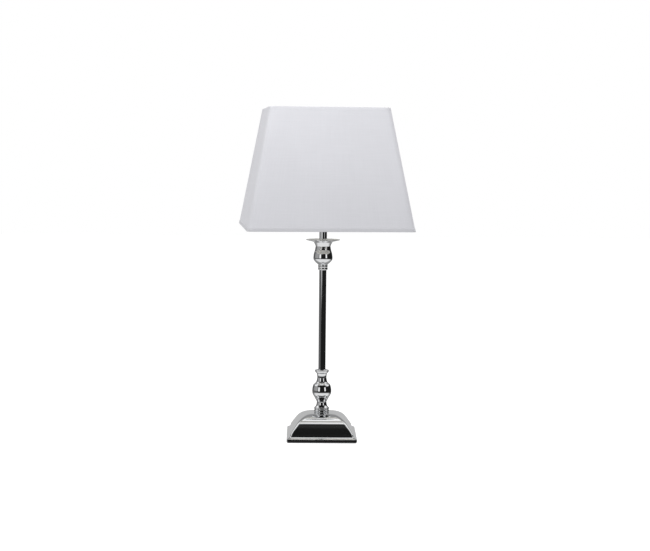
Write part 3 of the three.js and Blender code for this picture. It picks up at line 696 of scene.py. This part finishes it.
def cloth_sheet(name, foot, top, bottom, height, corner, thickness, rows, bow):
    """A closed skin of cloth round a square taper, with a map in metres along and up it."""
    rings = []
    for r in range(rows + 1):
        share = r / rows
        half = foot + (top - foot) * share
        level = bottom + height * share
        rings.append(square_ring(half, corner, level, steps=CORNER_STEPS, side=FABRIC_SIDE))
    count = len(rings[0])

    def shape(point, inset, share):
        p = Vector(point)
        if abs(p.x) > abs(p.y):
            outward = Vector((math.copysign(1, p.x), 0, 0))
        else:
            outward = Vector((0, math.copysign(1, p.y), 0))
        near_corner = min(abs(p.x), abs(p.y)) / max(abs(p.x), abs(p.y))
        ease = (1 - near_corner ** 2) * math.sin(math.pi * share)
        spot = Vector((p.x * WAVES_ACROSS, p.y * WAVES_ACROSS, p.z * WAVES_UP))
        wave = noise.noise(spot) * 0.5 + 0.5
        p += outward * (bow * ease * wave)
        if inset:
            reach = max(abs(p.x), abs(p.y))
            scale = (reach - inset) / reach
            p.x *= scale
            p.y *= scale
        return shade_place(p.x, p.y, p.z)

    outer = [[shape(p, 0, r / rows) for p in ring] for r, ring in enumerate(rings)]
    inner = [[shape(p, thickness, r / rows) for p in ring] for r, ring in enumerate(rings)]
    mesh = loft(name, outer + inner[::-1])
    layer = mesh.uv_layers.new(name="cloth")
    lengths = [0.0]
    for i in range(1, count):
        lengths.append(lengths[-1] + (Vector(rings[0][i]) - Vector(rings[0][i - 1])).length)
    total = lengths[-1] + (Vector(rings[0][0]) - Vector(rings[0][-1])).length
    ring_count = rows + 1
    for polygon in mesh.polygons:
        spots = [mesh.loops[k].vertex_index for k in polygon.loop_indices]
        wraps = any(v % count == 0 for v in spots) and any(v % count == count - 1 for v in spots)
        for k, v in zip(polygon.loop_indices, spots):
            row, column = divmod(v, count)
            row = row if row < ring_count else 2 * ring_count - 1 - row
            along = total if wraps and column == 0 else lengths[column]
            layer.data[k].uv = (along, height * row / rows)
    smooth_by_angle(mesh, CLOTH_SHARP)
    return add_object(name, mesh)


def shade_fabric():
    """The cloth, with its flat width and height as one sheet."""
    foot, top, bottom, highest = shade_sizes("shade_fabric")
    height = highest - bottom
    piece = cloth_sheet(
        "shade_cloth", foot, top, bottom, height, SHADE_CORNER, FABRIC_THICKNESS, FABRIC_ROWS, FABRIC_BOW
    )
    slant = math.hypot(height, foot - top)
    width = HALF_SIDES * (foot + top) / 2
    place(piece, "shade", MATERIALS["shade_fabric"], "shade_fabric")
    return piece, width, slant


def shade_hem(node):
    """A folded strip along the edge: a rounded band whose long edges curl in to the cloth."""
    foot, top, low, high = shade_sizes(node)
    at_top = node.endswith("top")
    slope = (foot - top) / (high - low)
    middle = (foot + top) / 2
    centre = (low + high) / 2
    half_height = (high - low) / 2
    sink = TOP_HEM_SINK if at_top else BOTTOM_HEM_SINK
    seed = TOP_RIPPLE_SEED if at_top else BOTTOM_RIPPLE_SEED
    rings = []
    for i in range(HEM_STEPS):
        angle = 2 * math.pi * i / HEM_STEPS
        c, s = math.cos(angle), math.sin(angle)
        up = math.copysign(abs(s) ** HEM_FACE_POWER, s) * half_height
        out = math.copysign(abs(c) ** HEM_EDGE_POWER, c) * HEM_THICKNESS / 2
        half = middle - slope * up + out - HEM_THICKNESS / 2 - sink
        ring = square_ring(half, SHADE_CORNER, centre + up, steps=CORNER_STEPS, side=HEM_SIDE)
        ripple = []
        for x, y, z in ring:
            lift = noise.noise(Vector((x * HEM_RIPPLES, y * HEM_RIPPLES, seed))) * HEM_RIPPLE
            at_edge = abs(up) > 0.5 * half_height
            ripple.append(shade_place(x, y, z + lift if at_edge else z))
        rings.append(ripple)
    mesh = loft(node + "_fold", rings)
    layer = mesh.uv_layers.new(name="cloth")
    count = len(rings[0])
    for polygon in mesh.polygons:
        for k in polygon.loop_indices:
            row, column = divmod(mesh.loops[k].vertex_index, count)
            along = column / count * HALF_SIDES * middle
            layer.data[k].uv = (along, row / HEM_STEPS * 2 * half_height)
    smooth_by_angle(mesh, ROUND_SHARP)
    piece = add_object(node + "_fold", mesh)
    # the bottom hem gets the darker cloth, painted shade at the lower edge; the top hem gets the plain cloth
    cloth = MATERIALS["shade_fabric" if at_top else "hem_fabric_painted_shade"]
    return place(piece, "shade", cloth, node)


def shade_seam():
    """The lapped edge of the cloth at the back, a raised strip with soft edges."""
    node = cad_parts["shade_seam"]
    mesh = node.data.copy()
    mesh.name = "shade_lap"
    work = bmesh.new()
    work.from_mesh(mesh)
    bmesh.ops.remove_doubles(work, verts=work.verts, dist=LAP_WELD)
    bmesh.ops.dissolve_limit(work, angle_limit=LAP_FLAT, verts=work.verts, edges=work.edges)
    long_edges = [e for e in work.edges if e.calc_length() > LAP_LONG_EDGE]
    bmesh.ops.subdivide_edges(work, edges=long_edges, cuts=LAP_CUTS, use_grid_fill=True)
    for v in work.verts:
        v.co.x += noise.noise(Vector((0, LAP_RIPPLE_SEED, v.co.z * LAP_RIPPLES))) * LAP_RIPPLE
    layer = work.loops.layers.uv.new("cloth")
    for face in work.faces:
        for loop in face.loops:
            loop[layer].uv = (loop.vert.co.x, loop.vert.co.z)
    work.to_mesh(mesh)
    work.free()
    for name in [a.name for a in mesh.uv_layers if a.name != "cloth"]:
        mesh.uv_layers.remove(mesh.uv_layers[name])
    smooth_by_angle(mesh, CLOTH_SHARP)
    piece = add_object("shade_lap", mesh)
    add_bevel(piece, LAP_EDGE)
    return place(piece, "shade", MATERIALS["shade_fabric"], "shade_seam")


def shade_liner():
    foot, top, bottom, highest = shade_sizes("shade_liner")
    height = highest - bottom
    corner = SHADE_CORNER - FILM_SETBACK
    piece = cloth_sheet("shade_film", foot, top, bottom, height, corner, FILM_THICKNESS, FILM_ROWS, 0.0)
    return place(piece, "shade", MATERIALS["shade_liner"], "shade_liner")


def square_wire(node):
    """A round wire bent to a square, in fine facets."""
    low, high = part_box(node)
    radius = (high[2] - low[2]) / 2
    centre = (high[2] + low[2]) / 2
    back = Matrix.Rotation(-SHADE_TURN, 3, "Z")
    outer = max((back @ v.co).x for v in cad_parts[node].data.vertices)
    corner = SHADE_CORNER - WIRE_SETBACK
    rings = []
    for i in range(WIRE_STEPS):
        angle = 2 * math.pi * i / WIRE_STEPS
        out = radius * math.cos(angle)
        level = centre + radius * math.sin(angle)
        ring = square_ring(outer - radius + out, corner + out, level, steps=WIRE_CORNER_STEPS, side=WIRE_SIDE)
        rings.append([shade_place(*p) for p in ring])
    mesh = loft(node + "_fine", rings)
    smooth_by_angle(mesh, ROUND_SHARP)
    piece = add_object(node + "_fine", mesh)
    return place(piece, "shade", MATERIALS["frame_wire"], node)


def fitter_arm(node, number):
    """A round wire along the CAD arm's own centre line."""
    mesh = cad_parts[node].data
    angle = SHADE_TURN + math.pi / 4 + (number - 1) * math.pi / 2
    back = Matrix.Rotation(-angle, 3, "Z")
    work = bmesh.new()
    work.from_mesh(mesh)
    bmesh.ops.remove_doubles(work, verts=work.verts, dist=WELD)
    spots = sorted((back @ v.co for v in work.verts), key=lambda p: p.x)
    work.free()
    centres = []
    for i in range(0, len(spots), ARM_RING_POINTS):
        centres.append(sum(spots[i:i + ARM_RING_POINTS], Vector()) / ARM_RING_POINTS)
    curve = bpy.data.curves.new(node + "_wire", "CURVE")
    curve.dimensions = "3D"
    spline = curve.splines.new("POLY")
    spline.points.add(len(centres) - 1)
    forward = Matrix.Rotation(angle, 3, "Z")
    for point, spot in zip(spline.points, centres):
        point.co = (*(forward @ Vector((spot.x, 0, spot.z))), 1)
    curve.bevel_depth = ARM_RADIUS
    curve.bevel_resolution = ARM_ROUNDNESS
    curve.use_fill_caps = True
    piece = add_object(node + "_wire", curve)
    return place(piece, "shade", MATERIALS["frame_wire"], node)


def build():
    for node in ("bead_ring", "waist_collar", "lower_vase", "tulip_collar", "column_tube",
                 "upper_collar", "urn", "drip_pan", "upper_tube"):
        turned(node, "lamp", MATERIALS["chrome"])
    base_shell()
    turned("cord_grommet", "lamp", MATERIALS["bushing"], axis=INLET_AXIS)
    turned("seat_washer", "lamp", MATERIALS["steel"])
    low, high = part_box("holder_sleeve")
    thread = dict(SLEEVE_THREAD, lowest=low[2] + SLEEVE_PLAIN_FOOT, highest=high[2] - SLEEVE_PLAIN_TOP)
    turned("holder_sleeve", "lamp", MATERIALS["holder"], edge=0, thread=thread)
    turned("shade_ring_lower", "lamp", MATERIALS["holder"])
    turned("shade_ring_upper", "shade_ring", MATERIALS["holder"])
    turned("screw_shell", "lamp", MATERIALS["brass"], edge=0)
    turned("bulb_contact", "bulb_lift", MATERIALS["solder"], edge=0)
    turned("bulb_insulator", "bulb", MATERIALS["bushing"], edge=0)
    low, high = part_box("bulb_cap")
    thread = dict(CAP_THREAD, lowest=low[2] + CAP_PLAIN_END, highest=high[2] - CAP_PLAIN_END)
    turned("bulb_cap", "bulb", MATERIALS["bulb_cap"], edge=0, thread=thread)
    turned("bulb_globe", "bulb", MATERIALS["bulb_glass"], edge=0)
    turned("fitter_ring", "shade", MATERIALS["frame_wire"],
           axis=Matrix.Rotation(SHADE_TURN, 4, "Z"))
    cloth, width, slant = shade_fabric()
    hems = [shade_hem("shade_hem_bottom"), shade_hem("shade_hem_top")]
    seam = shade_seam()
    shade_liner()
    square_wire("shade_frame_bottom")
    square_wire("shade_frame_top")
    for number in range(1, 5):
        fitter_arm(f"fitter_arm_{number}", number)
    kept = {"felt_pad": "felt", "bottom_plate": "steel", "base_weight": "iron",
            "base_washer": "steel", "base_nut": "steel", "tie_rod": "steel", "holder_cap": "holder",
            "holder_grub_screw": "steel", "holder_insert": "ceramic", "holder_contact": "brass"}
    for node, material in kept.items():
        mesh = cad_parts[node].data
        mesh.materials.clear()
        mesh.materials.append(MATERIALS[material])


# Studio


def azimuth_stops(stops):
    """Grey levels round the room, at degrees from the camera's side: left is negative, 180 is behind."""
    return [((degrees + 180) / 360, (level, level, level)) for degrees, level in stops]


def height_stops(stops):
    """Grey levels up the room, at degrees above the horizon."""
    return [((degrees + 90) / 180, (level, level, level)) for degrees, level in stops]


def studio_world():
    """White to the camera and even light for matt surfaces.

    Rays that leave the metal see a room with dark walls, two bright windows in front, a light ceiling,
    a light table and grey behind the object.
    """
    world = bpy.data.worlds.new("studio")
    bpy.context.scene.world = world
    world.use_nodes = True
    tree = world.node_tree
    tree.nodes.clear()
    w = Nodes(tree)

    split = w.node("SeparateXYZ", {0: w.node("TexCoord").outputs["Generated"]})
    x, y, z = (split.outputs[i] for i in range(3))
    azimuth = w.calc("ARCTAN2", x, w.calc("MULTIPLY", y, -1))
    around = w.calc("ADD", w.calc("DIVIDE", azimuth, 2 * math.pi), 0.5)
    above = w.calc("ADD", w.calc("DIVIDE", w.calc("ARCSINE", z), math.pi), 0.5)

    def round_room(*stops):
        return w.ramp(around, azimuth_stops(stops))

    def up_room(*stops):
        return w.ramp(above, height_stops(stops))

    def mix(factor, a, b):
        return w.node("Mix", {0: factor, 6: a, 7: b}, data_type="RGBA").outputs[2]

    belt = round_room(
        (-180, 0.5), (-160, 0.5), (-154, 0.1), (-118, 0.1), (-105, 0.3), (-56, 0.36),
        (-48, 0.012), (150, 0.012), (160, 0.5), (180, 0.5),
    )
    low_belt = round_room(
        (-180, 0.5), (-160, 0.5), (-154, 0.14), (-62, 0.11), (-44, 0.03),
        (-38, 0.012), (150, 0.012), (160, 0.5), (180, 0.5),
    )
    to_low = up_room((-90, 1), (-4.8, 1), (-4, 0), (90, 0))
    left_strip = round_room((-180, 0), (-46, 0), (-43, 1), (-26.5, 1), (-23.5, 0), (180, 0))
    right_strip = round_room((-180, 0), (31, 0), (34, 1), (47, 1), (50, 0), (180, 0))
    left_window = up_room((-90, 0), (-6.4, 0), (-4.6, 1), (17, 1), (20, 0), (90, 0))
    right_window = up_room((-90, 0), (-4, 0), (-2.5, 1), (17, 1), (20, 0), (90, 0))
    high = round_room(
        (-180, 0.28), (-140, 0.28), (-112, 0.95), (-88, 0.95), (-72, 0.4), (-55, 0.01),
        (55, 0.01), (72, 0.4), (88, 0.95), (112, 0.95), (140, 0.28), (180, 0.28),
    )
    to_high = up_room((-90, 0), (18, 0), (25, 1), (90, 1))
    to_ceiling = up_room((-90, 0), (57, 0), (61, 0.025), (64, 0.4), (68, 1), (90, 1))
    table = round_room((-180, 0.25), (-120, 0.3), (-95, 0.8), (95, 0.8), (120, 0.3), (180, 0.25))
    to_table = up_room((-90, 1), (-24, 1), (-16, 0), (90, 0))

    left = w.calc("MULTIPLY", left_strip, left_window)
    right = w.calc("MULTIPLY", right_strip, right_window)
    room = mix(w.calc("MAXIMUM", left, right), mix(to_low, belt, low_belt), WHITE)
    room = mix(to_high, room, high)
    room = mix(to_ceiling, room, CEILING)
    room = mix(to_table, room, table)

    path = w.node("LightPath")
    seen = w.node("Background", {"Color": WHITE, "Strength": 1})
    metal = w.node("Background", {"Color": room, "Strength": 1})
    fill = w.node("Background", {"Color": WHITE, "Strength": FILL_LEVEL})
    glossy = path.outputs["Is Glossy Ray"]
    bounced = w.node("MixShader", {0: glossy, 1: fill.outputs[0], 2: metal.outputs[0]})
    direct = w.calc("MAXIMUM", path.outputs["Is Camera Ray"], path.outputs["Is Transmission Ray"])
    mixed = w.node("MixShader", {0: direct, 1: bounced.outputs[0], 2: seen.outputs[0]})
    output = w.node("OutputWorld")
    tree.links.new(mixed.outputs[0], output.inputs["Surface"])


def area_light(name, place_at, size, power):
    """A soft light that faces the lit point and doesn't show in the metal."""
    light = bpy.data.lights.new(name, "AREA")
    light.shape = "RECTANGLE"
    light.size, light.size_y = size
    light.energy = power
    lamp = add_object(name, light)
    lamp.location = place_at
    lamp.rotation_euler = (Vector(LIT_POINT) - Vector(place_at)).to_track_quat("-Z", "Y").to_euler()
    lamp.visible_glossy = False


def white_floor():
    """A floor that looks white and keeps the object's shadow."""
    floor_mesh = mesh_from("floor", [
        (-FLOOR_HALF, -FLOOR_HALF, 0), (FLOOR_HALF, -FLOOR_HALF, 0),
        (FLOOR_HALF, FLOOR_HALF, 0), (-FLOOR_HALF, FLOOR_HALF, 0),
    ], [(0, 1, 2, 3)])
    floor = add_object("floor", floor_mesh)
    floor.location.z = -FLOOR_DROP
    s = Shader("floor_paint", roughness=0.9, specular_ior_level=0.1)
    s.set("Base Color", s.ramp(s.noise(0.7, 2), [(0.3, (0.93, 0.93, 0.93)), (0.7, (0.95, 0.95, 0.95))]))
    path = s.node("LightPath")
    white = s.node("Emission", {"Color": WHITE, "Strength": FLOOR_GLOW})
    seen = s.node("MixShader", {0: FLOOR_WHITE, 1: s.bsdf.outputs[0], 2: white.outputs[0]})
    mixed = s.node("MixShader", {0: path.outputs["Is Camera Ray"], 1: s.bsdf.outputs[0], 2: seen.outputs[0]})
    s.tree.links.new(mixed.outputs[0], s.tree.nodes["Material Output"].inputs["Surface"])
    floor.data.materials.append(s.material)
    floor.visible_glossy = False


def studio():
    studio_world()
    area_light("key_light", KEY_PLACE, KEY_SIZE, KEY_POWER)
    area_light("side_light", SIDE_PLACE, SIDE_SIZE, SIDE_POWER)
    area_light("back_light", BACK_PLACE, BACK_SIZE, BACK_POWER)
    white_floor()


def camera():
    data = bpy.data.cameras.new("camera")
    data.sensor_width = SENSOR_WIDTH
    data.sensor_fit = "HORIZONTAL"
    data.lens = FOCAL_LENGTH_PX * SENSOR_WIDTH / IMAGE_WIDTH
    data.clip_end = FAR_CLIP
    made = add_object("camera", data)
    turn = Matrix.Rotation(CAMERA_AZIMUTH, 4, "Z")
    tilt = Matrix.Rotation(math.pi / 2 - CAMERA_PITCH, 4, "X")
    roll = Matrix.Rotation(CAMERA_ROLL, 4, "Z")
    place_at = turn @ Vector((CAMERA_SIDE, -CAMERA_DISTANCE, CAMERA_HEIGHT))
    made.matrix_world = Matrix.Translation(place_at) @ turn @ tilt @ roll
    bpy.context.scene.camera = made


build()
studio()
camera()
bpy.context.scene.view_settings.view_transform = "Standard"
